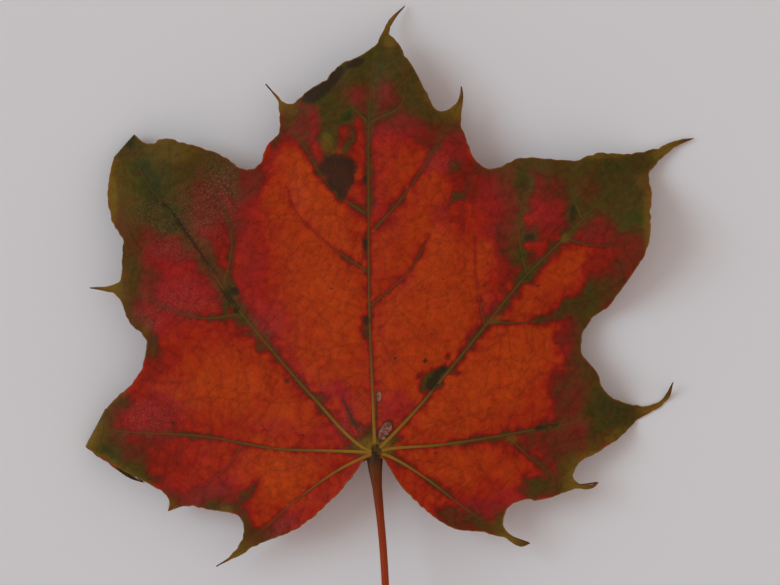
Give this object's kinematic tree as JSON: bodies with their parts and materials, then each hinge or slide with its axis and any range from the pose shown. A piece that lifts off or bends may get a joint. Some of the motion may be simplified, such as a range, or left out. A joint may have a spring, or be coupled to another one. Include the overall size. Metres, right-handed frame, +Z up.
{
  "type": "maple leaf",
  "caption": "Fallen autumn maple leaf with pointed lobes, raised ribs underneath and its stalk, lying right side up on the ends of its lobes.",
  "frame": {"origin": "bottom centre of the bounding box, on the surface that the leaf lies on", "axes": "+Z up, out of the leaf's upper face; +Y from the stalk towards the end lobe; +X to the right, seen from above"},
  "size_m": [0.153, 0.2028, 0.0186],
  "materials": {
    "leaf": "satin"
  },
  "bodies": {
    "root": {"maple_leaf": "leaf"}
  },
  "joints": []
}
